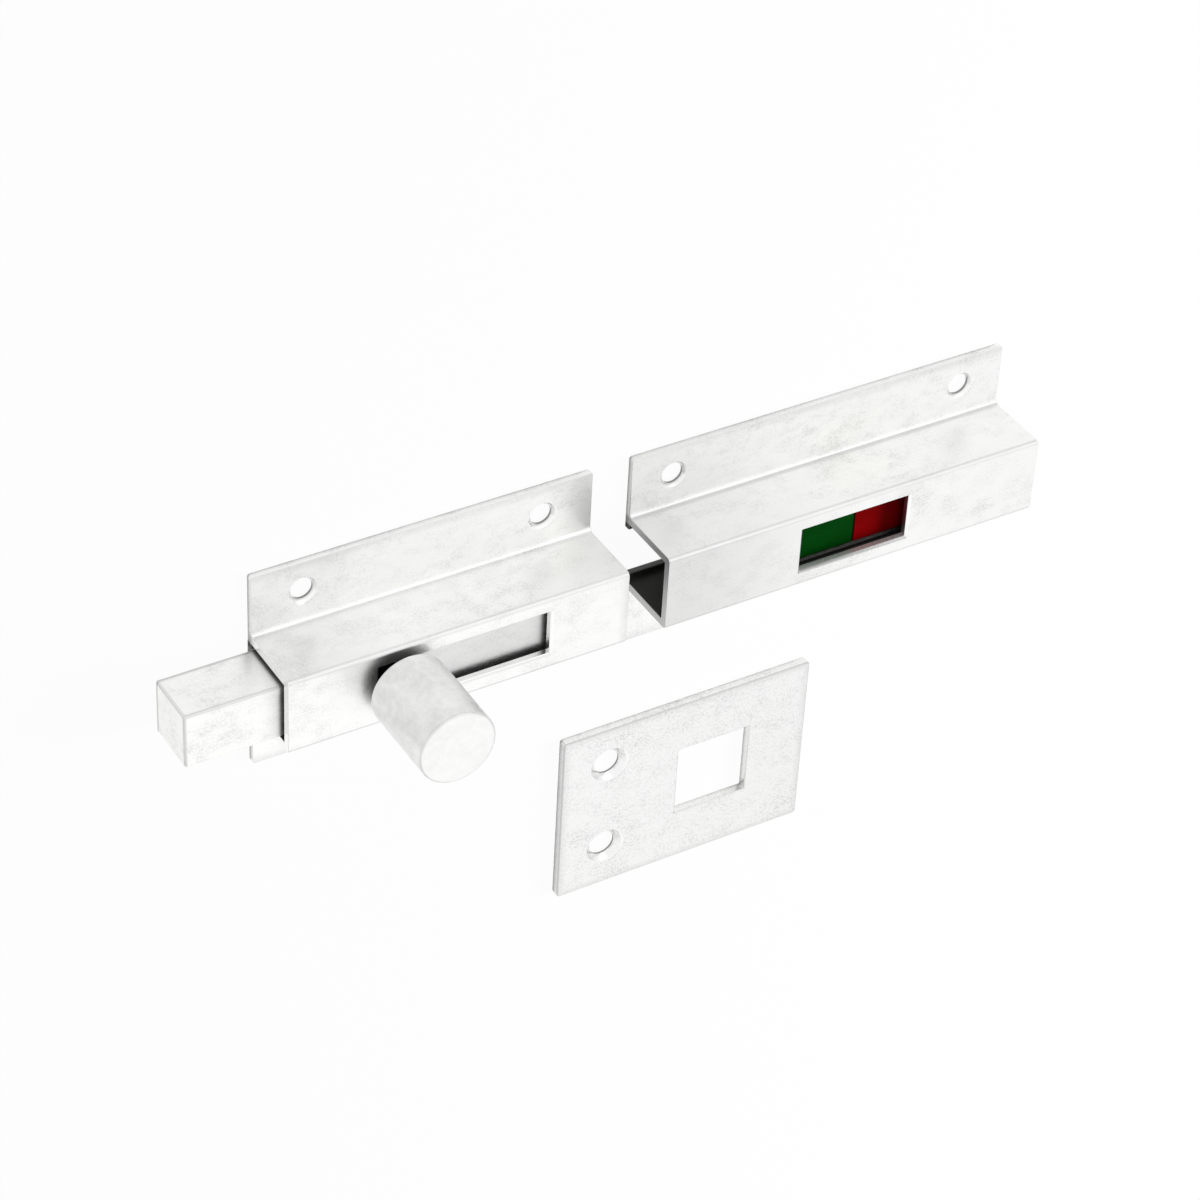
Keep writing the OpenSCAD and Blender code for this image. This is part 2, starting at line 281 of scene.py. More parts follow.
def turned(name, profile, centre, axis, steps):
    """A turned piece: a profile of (radius, height) goes round the axis, x and y being radius times the
    angle's cosine and sine. Rows of radius zero close as poles."""
    angle = np.linspace(0, 2 * np.pi, steps, endpoint=False)
    radius, height = profile[:, :1], profile[:, 1:]
    across = radius * np.cos(angle)
    aside = radius * np.sin(angle)
    along = np.broadcast_to(height, across.shape)
    order = {"Y": (across, along, aside), "Z": (across, aside, along)}[axis]
    points = np.stack(order, axis=-1) + np.asarray(centre)
    return mesh_object(name, points, grid_faces(len(profile), steps))


def carried(name, section, path, across, upright):
    """A closed section carried along a path: each station's point is the path's point plus the section's
    first number times the station's across direction and its second times the upright one. Both ends are
    capped by drawing the last section in to its middle."""
    ring = path[:, None] + section[None, :, :1] * across[:, None] + section[None, :, 1:] * upright[:, None]
    first = np.broadcast_to(path[:1, None], ring[:1].shape)
    last = np.broadcast_to(path[-1:, None], ring[-1:].shape)
    points = np.concatenate([first, ring, last])
    return mesh_object(name, points, grid_faces(len(points), len(section)))


def rounded_plate(name, low, high, radius, steps):
    """A box with every edge rounded: a sphere of the edge radius goes to the eight corners of a smaller
    box. Each point is the box's middle plus the sign of a direction times the smaller half size, plus the
    direction times the radius, over a grid of latitudes and longitudes whose quarters meet in flat
    faces."""
    middle = (low + high) / 2
    half = (high - low) / 2 - radius
    quarter = np.linspace(0, np.pi / 2, steps + 1)
    turn = (np.arange(4)[:, None] * np.pi / 2 + quarter).ravel()
    lift = np.concatenate([quarter - np.pi / 2, quarter])
    side_x = np.repeat([1, -1, -1, 1], steps + 1)
    side_y = np.repeat([1, 1, -1, -1], steps + 1)
    side_z = np.repeat([-1, 1], steps + 1)[:, None]
    out = np.stack([np.cos(lift)[:, None] * np.cos(turn), np.cos(lift)[:, None] * np.sin(turn),
                    np.broadcast_to(np.sin(lift)[:, None], (len(lift), len(turn)))], axis=-1)
    sides = np.stack(np.broadcast_arrays(side_x, side_y, side_z), axis=-1)
    ring = middle + sides * half + out * radius
    foot = np.broadcast_to(middle + [0, 0, -half[2] - radius], ring[:1].shape)
    top = np.broadcast_to(middle + [0, 0, half[2] + radius], ring[:1].shape)
    points = np.concatenate([foot, ring, top])
    return mesh_object(name, points, grid_faces(len(points), len(turn)))


def mark_faces(piece, name, test):
    """Writes a face attribute for the finish to read: the test takes the faces' middles and normals as
    arrays of three columns and gives each face a number, or true or false."""
    faces = piece.data.polygons
    middle = np.empty((len(faces), 3), np.float32)
    normal = np.empty((len(faces), 3), np.float32)
    faces.foreach_get("center", middle.ravel())
    faces.foreach_get("normal", normal.ravel())
    layer = piece.data.attributes.new(name, "FLOAT", "FACE")
    layer.data.foreach_set("value", test(middle, normal).astype(np.float32))


def eased_copy(node, name, radius, steps, seams=()):
    """A solid's own shape with its sharp edges rounded over. The loose triangles are welded, flat
    neighbours are joined, and each sharp edge becomes a narrow arc. Faces that were rounded carry edge = 1
    for the finish to read. Each seam, a point and a direction, then parts the faces that cross its plane,
    so that they can be marked apart."""
    body = bmesh.new()
    body.from_mesh(frame["nodes"][node].data)
    bmesh.ops.remove_doubles(body, verts=body.verts, dist=WELD)
    bmesh.ops.dissolve_limit(body, angle_limit=FLAT_ANGLE, verts=body.verts, edges=body.edges,
                             use_dissolve_boundaries=False)
    edged = body.faces.layers.float.new("edge")
    sharp = [edge for edge in body.edges if edge.calc_face_angle(0.0) > EASED_ANGLE]
    eased = bmesh.ops.bevel(body, geom=sharp, offset=radius, offset_type="OFFSET", segments=steps,
                            profile=0.5, affect="EDGES", clamp_overlap=False, loop_slide=False,
                            material=-1)
    for face in eased["faces"]:
        face[edged] = 1.0
    for point, direction in seams:
        everything = [*body.verts, *body.edges, *body.faces]
        bmesh.ops.bisect_plane(body, geom=everything, dist=WELD, plane_co=point, plane_no=direction)
    mesh = bpy.data.meshes.new(name)
    body.to_mesh(mesh)
    body.free()
    return placed(name, mesh)


# Finishes

WHITE = (1.0, 1.0, 1.0, 1.0)
# No finish is paler than this
PALEST = 0.985
# Shares of its tone that satin aluminium keeps under painted shade: on rounded edges, where it dims their
# highlight, and on faces that stand in shade
EDGE_SHADE = 0.82
SHADE_SHARE = 0.6
# Sizes of the marks of satin aluminium: clouds, patches, lines along the extrusion, and warmer areas
CLOUD = 13 * MM
PATCH = 3.4 * MM
DIE_LINE = 0.8 * MM
TINT = 19 * MM
# How much painted shade the bore of a screw hole gets, for the shade inside the hole
BORE_SHADE = 0.8
# Depths of the fine relief of satin metal, and of steel and plastic, and how much of it shows
METAL_RELIEF = 0.004 * MM
FINE_RELIEF = 0.003 * MM
RELIEF_PART = 0.3


class Value:
    """A node's socket that Python's operators work on: each one adds a Math node."""

    def __init__(self, finish, socket):
        self.finish = finish
        self.socket = socket

    def _math(self, operation, first, second):
        return self.finish.node("ShaderNodeMath", {"operation": operation}, {0: first, 1: second})

    def __add__(self, other):
        return self._math("ADD", self, other)

    def __radd__(self, other):
        return self._math("ADD", other, self)

    def __sub__(self, other):
        return self._math("SUBTRACT", self, other)

    def __rsub__(self, other):
        return self._math("SUBTRACT", other, self)

    def __mul__(self, other):
        return self._math("MULTIPLY", self, other)

    def __rmul__(self, other):
        return self._math("MULTIPLY", other, self)

    def __abs__(self):
        return self._math("ABSOLUTE", self, 0.0)

    def most(self, other):
        """The larger of this and another value."""
        return self._math("MAXIMUM", self, other)


class Finish:
    """A material whose nodes are added by one method."""

    def __init__(self, name, tree=None):
        if tree is None:
            self.material = bpy.data.materials.new(name)
            self.material.use_nodes = True
            tree = self.material.node_tree
        self.tree = tree
        self.tree.nodes.clear()

    def node(self, kind, settings=None, sockets=None, output=0):
        """Adds a node of a type, sets its settings, then its sockets, and gives one of its outputs."""
        made = self.tree.nodes.new(kind)
        for key, value in (settings or {}).items():
            setattr(made, key, value)
        for key, value in (sockets or {}).items():
            if isinstance(value, Value):
                self.tree.links.new(value.socket, made.inputs[key])
            else:
                made.inputs[key].default_value = value
        return Value(self, made.outputs[output])

    def place(self):
        """Object coordinates, in metres in the frame of the whole object."""
        return self.node("ShaderNodeTexCoord", output="Object")

    def noise(self, place, size, stretch=(1.0, 1.0, 1.0), shift=0.0, detail=2.0, low=0.3, high=0.7):
        """Cloudy noise from 0 to 1 whose patches have a size, drawn out along each axis by the stretch."""
        spread = tuple(1.0 / (size * s) for s in stretch)
        moved = (shift, 2.3 * shift, -1.7 * shift)
        where = self.node("ShaderNodeMapping", {"vector_type": "POINT"},
                          {"Vector": place, "Scale": spread, "Location": moved})
        raw = self.node("ShaderNodeTexNoise", {"noise_dimensions": "3D"},
                        {"Vector": where, "Scale": 1.0, "Detail": detail, "Roughness": 0.55})
        return self.ramp(raw, low, high)

    def ramp(self, value, low, high, first=0.0, last=1.0):
        """A value that goes smoothly from first to last between two limits."""
        limits = {"From Min": low, "From Max": high, "To Min": first, "To Max": last}
        return self.node("ShaderNodeMapRange", {"interpolation_type": "SMOOTHSTEP"},
                         {"Value": value, **limits})

    def mix(self, part, first, last):
        """A colour part of the way from one colour to another."""
        return self.node("ShaderNodeMix", {"data_type": "RGBA"}, {0: part, 6: first, 7: last}, output=2)

    def part(self, place, axis):
        """The X, Y or Z of a place."""
        return self.node("ShaderNodeSeparateXYZ", {}, {"Vector": place}, output=axis)

    def away(self, place, low, high):
        """Distance outside an upright rectangle in X and Y, which is negative inside it: the larger of the
        two distances from its middle lines, each less half its size."""
        middle = (low + high) / 2
        half = (high - low) / 2
        along = abs(self.part(place, "X") - middle[0]) - half[0]
        across = abs(self.part(place, "Y") - middle[1]) - half[1]
        return along.most(across)

    def mark(self, name):
        """A piece's own face attribute."""
        settings = {"attribute_type": "GEOMETRY", "attribute_name": name}
        return self.node("ShaderNodeAttribute", settings, output="Fac")

    def bump(self, height, depth, shown):
        """Normals of a surface raised by a height from 0 to 1 times a depth in metres, in part shown."""
        return self.node("ShaderNodeBump", {}, {"Height": height, "Distance": depth, "Strength": shown})

    def surface(self, **sockets):
        """Ends the material in one principled shader."""
        spaced = {key.replace("_", " "): value for key, value in sockets.items()}
        self.end(self.node("ShaderNodeBsdfPrincipled", {}, spaced))
        return self.material

    def end(self, shader, kind="ShaderNodeOutputMaterial"):
        """Links a shader to the output."""
        made = self.tree.nodes.new(kind)
        self.tree.links.new(shader.socket, made.inputs["Surface"])


def rgba(tone, scale=1.0, warmth=0.0):
    """A colour with alpha, scaled, and warmed by taking some of its blue away."""
    return (tone[0] * scale, tone[1] * scale, tone[2] * scale * (1.0 - warmth), 1.0)


def satin_aluminium(name, tone, shift, grain_size=0.42 * MM, grain_part=0.35, shade_stretch=(), border=None):
    """Etched and anodised aluminium: mostly pale, with greyer clouds and patches, faint die lines along the
    extrusion and fine grain, a painted highlight on its machined faces, painted shade on its rounded edges
    and rims, on faces that stand in shade, which are also rougher, and dark painted shade inside. The piece
    marks its edge, rim, highlight, shade, matt and inside faces. Stretches of its faces get painted shade,
    each given by the faces' mark, the axis, where it begins, where it is full and how much. So does a
    border just inside a rectangle, given by the rectangle's corners, its width and how much, on the faces
    marked flat."""
    look = bpy.context.scene.bolt_finish
    finish = Finish(name)
    place = finish.place()
    clouds = finish.noise(place, CLOUD, (1.2, 1.0, 1.0), shift, 3.0)
    patches = finish.noise(place, PATCH, (1.3, 1.0, 1.0), shift + 3.1, 3.0, 0.35, 0.65)
    drawn = finish.noise(place, DIE_LINE, (14.0, 1.0, 1.0), shift + 5.7, 2.0)
    grain = finish.noise(place, grain_size, (1.0, 1.0, 1.0), shift, 2.0, 0.35, 0.65)
    tint = finish.noise(place, TINT, (1.2, 1.0, 1.0), shift + 9.4, 1.0, 0.45, 0.75)
    edge = finish.mark("edge")
    cut = finish.mark("cut")
    dull_and_shade = finish.mark("dull_and_shade")
    inside = finish.mark("inside")
    for faces, axis, begin, full, amount in shade_stretch:
        stretch = finish.ramp(finish.part(place, axis), begin, full, 0.0, amount)
        dull_and_shade = dull_and_shade.most(stretch * finish.mark(faces))
    if border is not None:
        low, high, width, amount = border
        # A border of painted shade just inside a rectangle
        near = finish.ramp(finish.away(place, low, high), -width, 0.0, 0.0, amount)
        dull_and_shade = dull_and_shade.most(near * (0.5 + 0.5 * patches) * finish.mark("flat"))
    mottle = 0.5 * clouds + 0.42 * patches + 0.08 * drawn
    dim = 1.0 - grain_part * grain - (1.0 - grain_part) * mottle
    shade = 1.0 - dim * dim * dim
    dark = 1.0 - 1.3 * look.cloudiness
    light = min(1.0 + 0.5 * look.cloudiness, PALEST / max(tone))
    plain = finish.mix(shade, rgba(tone, dark), rgba(tone, light))
    warm = finish.mix(shade, rgba(tone, dark, 0.035), rgba(tone, light, 0.03))
    outer = finish.mix(0.6 * tint, plain, warm)
    # Painted highlight on the machined faces
    bright = finish.mix(0.7 * cut, outer, rgba(tone, light))
    # Painted shade on rounded edges and rims, dimming their highlight
    edge_shaded = finish.mix((0.5 * edge).most(finish.mark("rim")), bright, rgba(tone, EDGE_SHADE))
    # Painted shade on faces that stand in shade, which are also rougher
    painted_shade = finish.mix(dull_and_shade, edge_shaded, rgba(tone, SHADE_SHARE))
    # Painted shade inside the channels and the screw bores
    base = finish.mix(inside, painted_shade, rgba(look.inside_shade_tone))
    rough = look.satin - 0.06 + 0.07 * clouds + 0.05 * grain - 0.1 * cut + 0.14 * dull_and_shade + 0.14 * inside
    relief = 0.75 * grain + 0.25 * drawn
    return finish.surface(Base_Color=base, Metallic=1.0 - finish.mark("matt"), Roughness=rough,
                          Normal=finish.bump(relief, METAL_RELIEF, RELIEF_PART))


def turned_aluminium(name, tone, shift):
    """Turned and anodised aluminium: soft clouds drawn out along the axis, patches, grain, a painted
    highlight on the end, painted shade on the rims, and near-black painted shade on the neck and base. The
    piece marks its edge, highlight and inside faces."""
    look = bpy.context.scene.bolt_finish
    finish = Finish(name)
    place = finish.place()
    clouds = finish.noise(place, 6 * MM, (1.0, 1.0, 1.5), shift, 3.0)
    patches = finish.noise(place, 1.8 * MM, (1.0, 1.0, 1.2), shift + 2.7, 2.0)
    grain = finish.noise(place, 0.25 * MM, (1.0, 1.0, 1.0), shift, 2.0)
    edge = finish.mark("edge")
    inside = finish.mark("inside")
    shade = 0.45 * clouds + 0.3 * patches + 0.25 * grain
    light = min(1.0 + look.cloudiness, PALEST / max(tone))
    outer = finish.mix(shade, rgba(tone, 1.0 - look.cloudiness), rgba(tone, light))
    # Painted highlight on the turned end
    bright = finish.mix(0.5 * finish.mark("cut"), outer, rgba(tone, light))
    # Painted shade on the knob's rims
    edge_shaded = finish.mix(0.4 * edge, bright, rgba(tone, 0.88))
    base = finish.mix(inside, edge_shaded, rgba(look.knob_shade_tone))
    rough = look.satin - 0.06 + 0.07 * clouds + 0.05 * grain + 0.14 * inside
    return finish.surface(Base_Color=base, Metallic=1.0, Roughness=rough,
                          Normal=finish.bump(grain, METAL_RELIEF, RELIEF_PART))


def steel(name, tone, shift):
    """Bright steel with fine grain and slight staining."""
    finish = Finish(name)
    place = finish.place()
    stain = finish.noise(place, 3 * MM, (1.0, 1.0, 1.0), shift, 3.0)
    grain = finish.noise(place, 0.15 * MM, (1.0, 1.0, 1.0), shift, 1.0)
    base = finish.mix(0.7 * stain + 0.3 * grain, rgba(tone, 0.86), rgba(tone, 1.1, 0.02))
    return finish.surface(Base_Color=base, Metallic=1.0, Roughness=0.26 + 0.08 * stain + 0.04 * grain,
                          Normal=finish.bump(grain, FINE_RELIEF, 0.25))


def flag_plastic(name, tone, shift):
    """Smooth coloured plastic: a slight orange-peel, scuffed streaks along its travel, and painted shade on
    its edges, darkest in the seam between the flags.
    """
    finish = Finish(name)
    place = finish.place()
    drift = finish.noise(place, 6 * MM, (1.4, 1.0, 1.0), shift, 2.0)
    rubs = finish.noise(place, 0.5 * MM, (30.0, 1.0, 1.0), shift + 2.0, 2.0, 0.5, 0.8)
    peel = finish.noise(place, 0.7 * MM, (1.0, 1.0, 1.0), shift, 1.0)
    plain = finish.mix(0.7 * drift + 0.3 * rubs, rgba(tone, 0.86), rgba(tone, 1.12))
    # Painted shade on the rounded edges, darkest in the seam between the flags
    base = finish.mix(0.85 * finish.mark("edge"), plain, rgba(tone, 0.15))
    return finish.surface(Base_Color=base, Metallic=0.0, Roughness=0.24 + 0.12 * rubs + 0.06 * drift,
                          Specular_IOR_Level=0.008, Normal=finish.bump(peel, FINE_RELIEF, RELIEF_PART))


# Pieces


def dress(piece, node, material):
    """Gives a piece its finish and lets it ride on, and stand for, one node of the frame."""
    piece.data.materials.clear()
    piece.data.materials.append(material)
    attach(piece, frame["nodes"][node]["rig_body"])
    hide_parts(node)


def countersinks(middle, normal):
    """The cones of the screw holes: faces low on the plates that lean by about 45 degrees."""
    return (middle[:, 2] < PLATE_TOP) & (normal[:, 2] > 0.6) & (normal[:, 2] < 0.8)


def level(middle, normal):
    """Faces that lie flat and look out of the door."""
    return normal[:, 2] > FACING


def upright_within(middle, normal, low, high):
    """Upright faces whose middles lie inside a rectangle, such as the bores of screw holes."""
    within = ((middle[:, :2] > low[:2]) & (middle[:, :2] < high[:2])).all(axis=1)
    return within & (abs(normal[:, 2]) < 0.3)


class Piece:
    """What every operator here shares."""

    bl_options = {"REGISTER", "UNDO"}


class CasingFaces:
    """Picks faces of a casing by their middles and normals, from the sizes of its section. Each test gives
    every face a number, or true or false."""

    def __init__(self, shape, node):
        self.low, self.high = corners_of(node)
        self.half = shape.channel_half + SPARE
        self.front = shape.channel_front + SPARE
        self.outside = self.half + shape.wall
        self.lip = shape.lip

    def seams(self):
        """Planes that part the ends of the walls from the channel and from the flanges."""
        sides = (self.half, -self.half, self.outside, -self.outside)
        return [((0, side, 0), (0, 1, 0)) for side in sides]

    def opening(self, middle):
        """Faces of the front wall within the channel's height, such as those round slot and window."""
        return (abs(middle[:, 1]) < self.half) & (middle[:, 2] > self.front)

    def inside(self, middle, normal):
        """Faces that get painted shade: the channel, less of it on the lips, and the bores of the screw
        holes.
        """
        walls = (abs(middle[:, 1]) < self.half) & (middle[:, 2] > SPARE) & (middle[:, 2] < self.front)
        lips = middle[:, 2] < self.lip
        sides = abs(normal[:, 0]) < 0.5
        shaded = lips & (normal[:, 0] < -0.5)
        channel = np.select([walls & lips & sides, walls & (shaded | sides)], [0.6, 1.0], 0.0)
        flange = np.stack([middle[:, 0], abs(middle[:, 1])], axis=1)
        bores = upright_within(flange, normal, self.low + HOLE_EDGE, self.high - HOLE_EDGE)
        return np.maximum(channel, BORE_SHADE * (bores & (flange[:, 1] > 1.6 * self.half)))

    def cut(self, middle, normal):
        """Faces that get a painted highlight: the sides of slot and window, the ends left by the saw and
        the countersinks.
        """
        opening = self.opening(middle) & (abs(normal[:, 2]) < FACING)
        return opening | (abs(normal[:, 0]) > FACING) | countersinks(middle, normal)

    def sill(self, middle, normal):
        """The lower side of the slot or the window."""
        return self.opening(middle) & (normal[:, 1] > 0.5)

    def painted_shade(self, middle, normal):
        """Faces that get painted shade: the left end, less of it on the flanges, and the other sides of the
        window.
        """
        wall = self.opening(middle) & (abs(normal[:, 2]) < 0.5) & ~self.sill(middle, normal)
        end = normal[:, 0] < -FACING
        flange = abs(middle[:, 1]) > self.outside
        return np.select([end & flange, wall | end], [0.4, 1.0], 0.0)

    def rim(self, middle, normal, foot):
        """Painted shade that dims the highlight on the rounded front edges, and on the feet of the box's
        walls by a given amount.
        """
        rounded = (abs(normal[:, 1]) > 0.15) & (abs(normal[:, 2]) > 0.15) & (abs(normal[:, 0]) < 0.1)
        feet = (abs(normal[:, 1]) > 0.75) & (normal[:, 2] > 0.05) & (middle[:, 2] < 2.2 * self.lip)
        return np.select([rounded & (middle[:, 2] > self.front), feet], [0.5, foot], 0.0)

    def top(self, middle, normal):
        """The box's upper wall."""
        return (normal[:, 1] > FACING) & (middle[:, 2] > self.lip)

    def face(self, middle, normal):
        """The front, and less so the upper wall and the upper flange."""
        upper = (normal[:, 1] > FACING) | (middle[:, 1] > self.outside)
        return np.select([level(middle, normal) & (middle[:, 2] > self.front), upper], [1.0, 0.4], 0.0)

    def flange(self, middle, normal):
        """The fronts of both flanges."""
        return level(middle, normal) & (abs(middle[:, 1]) > self.outside)


class BOLT_OT_casings(Piece, Operator):
    """Finish the two casings"""

    bl_idname = "indicator_bolt.casings"
    bl_label = "Casings"

    def execute(self, context):
        shape = context.scene.bolt_shape
        look = context.scene.bolt_finish
        # Node, name, tone, shift of the clouds, how much painted shade and roughness the shaded faces get,
        # how much painted shade the feet get, and how far from the left end and by how much the faces get a
        # stretch of painted shade
        rows = (("bolt_casing", "bolt_casing_shell", look.casing_tone, 4.75,
                 0.0, 0.15, 30 * MM, 0.2),
                ("indicator_casing", "indicator_casing_shell", look.indicator_tone, 7.69,
                 1.0, 0.6, 50 * MM, 0.42))
        for node, name, tone, shift, dull_and_shade, foot, reach, amount in rows:
            faces = CasingFaces(shape, node)
            low, high = faces.low, faces.high
            shell = eased_copy(node, name, shape.casing_edge, shape.edge_steps, faces.seams())
            mark_faces(shell, "inside", faces.inside)
            mark_faces(shell, "cut", faces.cut)
            mark_faces(shell, "rim", lambda middle, normal: faces.rim(middle, normal, foot))
            mark_faces(shell, "dull_and_shade", lambda middle, normal: dull_and_shade * faces.painted_shade(middle, normal))
            mark_faces(shell, "shade_stretch", faces.face if dull_and_shade else faces.top)
            mark_faces(shell, "matt", lambda middle, normal: 0.8 * dull_and_shade * faces.sill(middle, normal))
            mark_faces(shell, "flat", level)
            mark_faces(shell, "flange", faces.flange)
            # Painted shade that fades out over a stretch from the left end
            shade_stretch = [("shade_stretch", "X", low[0] + reach, low[0], amount)]
            if not dull_and_shade:
                # The end of these flanges that faces the other casing lies in its shade
                begin = high[0] - 9 * MM
                full = high[0] - 1 * MM
                shade_stretch.append(("flange", "X", begin, full, 0.4))
            # A border of painted shade runs along the flanges' long edges, and across the bolt casing's
            # right end
            past = np.array([10 * MM, 0.0, 0.0])
            width = 2.4 * MM
            border = (low - past, high + dull_and_shade * past, width, 0.35)
            finish = satin_aluminium(name + "_satin", tone, shift, shade_stretch=shade_stretch, border=border)
            dress(shell, node, finish)
        return {"FINISHED"}


class BOLT_OT_bar(Piece, Operator):
    """Finish the bolt bar and its leaf spring"""

    bl_idname = "indicator_bolt.bar"
    bl_label = "Bar and spring"

    def execute(self, context):
        shape = context.scene.bolt_shape
        look = context.scene.bolt_finish
        self.bar(shape, look)
        self.spring(shape, look)
        return {"FINISHED"}

    def bar(self, shape, look):
        """The solid with eased edges, with painted shade on its chamfers, and painted shade that grows from
        just outside the casing's mouth on and along its foot.
        """
        bar = eased_copy("bolt_bar", "bolt_bar_stock", shape.bar_edge, shape.edge_steps)
        # Painted shade on the bar's chamfers and rounded edges
        mark_faces(bar, "rim", lambda middle, normal: 0.9 * (abs(normal).max(axis=1) < FACING))
        mark_faces(bar, "shade_stretch", lambda middle, normal: np.ones(len(middle)))
        mouth = corners_of("bolt_casing")[0][0]
        foot = corners_of("bolt_bar")[0][2]
        # Painted shade from near the casing's mouth on, and along the foot
        shade_stretch = [("shade_stretch", "X", mouth - 5 * MM, mouth + 3 * MM, 0.42),
                ("shade_stretch", "Z", foot + 1.5 * MM, foot + 0.7 * MM, 0.8)]
        finish = satin_aluminium("bolt_bar_satin", look.bar_tone, 7.0, shade_stretch=shade_stretch)
        dress(bar, "bolt_bar", finish)

    def spring(self, shape, look):
        """A leaf bowed along one arc. Its inner side's radius is half its span squared plus its rise
        squared, over twice the rise, and the section goes along a circle half the thickness outside it."""
        low, high = corners_of("bolt_spring")
        thick = shape.spring_thickness
        half_span = (high[0] - low[0]) / 2
        rise = high[1] - low[1] - thick
        bow = (half_span ** 2 + rise ** 2) / (2 * rise) + thick / 2
        reach = np.arcsin((half_span - shape.small_edge) / bow)
        angle = np.linspace(-reach, reach, shape.spring_stations)
        flat = np.zeros_like(angle)
        upright = np.stack([np.sin(angle), np.cos(angle), flat], axis=1)
        centre = np.array([(low[0] + high[0]) / 2, high[1] - thick / 2 - bow, (low[2] + high[2]) / 2])
        wide = (high[2] - low[2]) / 2
        deep = thick / 2
        section = rounded_path([(-wide, -deep), (wide, -deep), (wide, deep), (-wide, deep)],
                               shape.small_edge, shape.edge_steps, True)
        across = np.broadcast_to([0.0, 0.0, 1.0], upright.shape)
        spring = carried("leaf_spring", section, centre + bow * upright, across, upright)
        dress(spring, "bolt_spring", steel("spring_steel", look.steel_tone, 1.0))


class BOLT_OT_knob(Piece, Operator):
    """Turn the knob and finish the screw that holds it"""

    bl_idname = "indicator_bolt.knob"
    bl_label = "Knob and screw"

    def execute(self, context):
        shape = context.scene.bolt_shape
        look = context.scene.bolt_finish
        self.knob(shape, look)
        self.screw(shape, look)
        return {"FINISHED"}

    def knob(self, shape, look):
        """The knob, turned from one profile of its screw hole, neck, base, rims and end. Its neck carries
        painted shade, and so does its base, fading out from the neck towards the rim."""
        low, high = corners_of("bolt_knob")
        centre = np.array([(low[0] + high[0]) / 2, (low[1] + high[1]) / 2, low[2]])
        radius = (high[0] - low[0]) / 2
        tall = high[2] - low[2]
        rings = np.linspace(shape.neck_radius, radius - shape.knob_rim, 6)[1:-1]
        corners = [(0.0, shape.bore_depth), (shape.bore_radius, shape.bore_depth), (shape.bore_radius, 0.0),
                   (shape.neck_radius, 0.0), (shape.neck_radius, shape.neck_length),
                   *((ring, shape.neck_length) for ring in rings),
                   (radius, shape.neck_length), (radius, tall), (0.0, tall)]
        easing = [0.0, 0.0, 0.0, shape.small_edge, shape.small_edge, *(0.0 * rings),
                  shape.knob_rim, shape.knob_rim, 0.0]
        profile = rounded_path(corners, easing, shape.rim_steps, False)
        knob = turned("bolt_knob_turned", profile, centre, "Z", shape.turn_steps)
        base = low[2] + shape.neck_length
        fade_width = 2.6 * MM
        facing = 0.95

        # Painted shade: full on the neck, fading out across the base from the neck
        def under(middle, normal):
            reach = np.hypot(middle[:, 0] - centre[0], middle[:, 1] - centre[1])
            fade = np.clip((radius - shape.knob_rim - reach) / fade_width, 0.0, 1.0)
            return np.select([middle[:, 2] < base - SPARE, middle[:, 2] < base + SPARE], [1.0, fade], 0.0)

        def rims(middle, normal):
            return (abs(normal[:, 2]) > 0.1) & (abs(normal[:, 2]) < facing)

        mark_faces(knob, "inside", under)
        # The end gets a painted highlight
        mark_faces(knob, "cut", lambda middle, normal: normal[:, 2] > facing)
        # The rims get painted shade
        mark_faces(knob, "edge", rims)
        dress(knob, "bolt_knob", turned_aluminium("knob_turned", look.knob_tone, 2.0))

    def screw(self, shape, look):
        """The solid with eased edges, in steel."""
        screw = eased_copy("knob_screw", "knob_screw_steel", shape.small_edge, shape.edge_steps)
        dress(screw, "knob_screw", steel("screw_steel", look.steel_tone, 6.0))


class BOLT_OT_flags(Piece, Operator):
    """Finish the flag slide, its two flags and the stop pin"""

    bl_idname = "indicator_bolt.flags"
    bl_label = "Slide, flags and stop pin"

    def execute(self, context):
        shape = context.scene.bolt_shape
        look = context.scene.bolt_finish
        self.slide(shape, look)
        self.plates(shape, look)
        self.pin(shape, look)
        return {"FINISHED"}

    def slide(self, shape, look):
        """The solid with eased edges, in plain aluminium."""
        slide = eased_copy("flag_slide", "flag_slide_block", shape.bar_edge, shape.edge_steps)
        dress(slide, "flag_slide", satin_aluminium("slide_plain", look.slide_tone, 11.0))

    def plates(self, shape, look):
        """The two flags, as plates with rounded edges."""
        rows = (("green_flag", "green_flag_plate", look.green, "green_plastic", 0.0),
                ("red_flag", "red_flag_plate", look.red, "red_plastic", 5.0))
        for node, name, tone, slot, shift in rows:
            low, high = corners_of(node)
            plate = rounded_plate(name, low, high, shape.flag_edge, shape.edge_steps)
            # The rounded edges get painted shade
            mark_faces(plate, "edge", lambda middle, normal: abs(normal).max(axis=1) < 0.99)
            dress(plate, node, flag_plastic(name + "_gloss", tone, shift))

    def pin(self, shape, look):
        """The stop pin, turned from a profile with both rims rounded."""
        low, high = corners_of("stop_pin")
        radius = (high[0] - low[0]) / 2
        tall = high[1] - low[1]
        foot = np.array([(low[0] + high[0]) / 2, low[1], (low[2] + high[2]) / 2])
        profile = rounded_path([(0.0, 0.0), (radius, 0.0), (radius, tall), (0.0, tall)],
                               2 * shape.small_edge, shape.edge_steps, False)
        pin = turned("stop_pin_turned", profile, foot, "Y", shape.turn_steps // 2)
        dress(pin, "stop_pin", steel("pin_steel", look.steel_tone, 8.0))


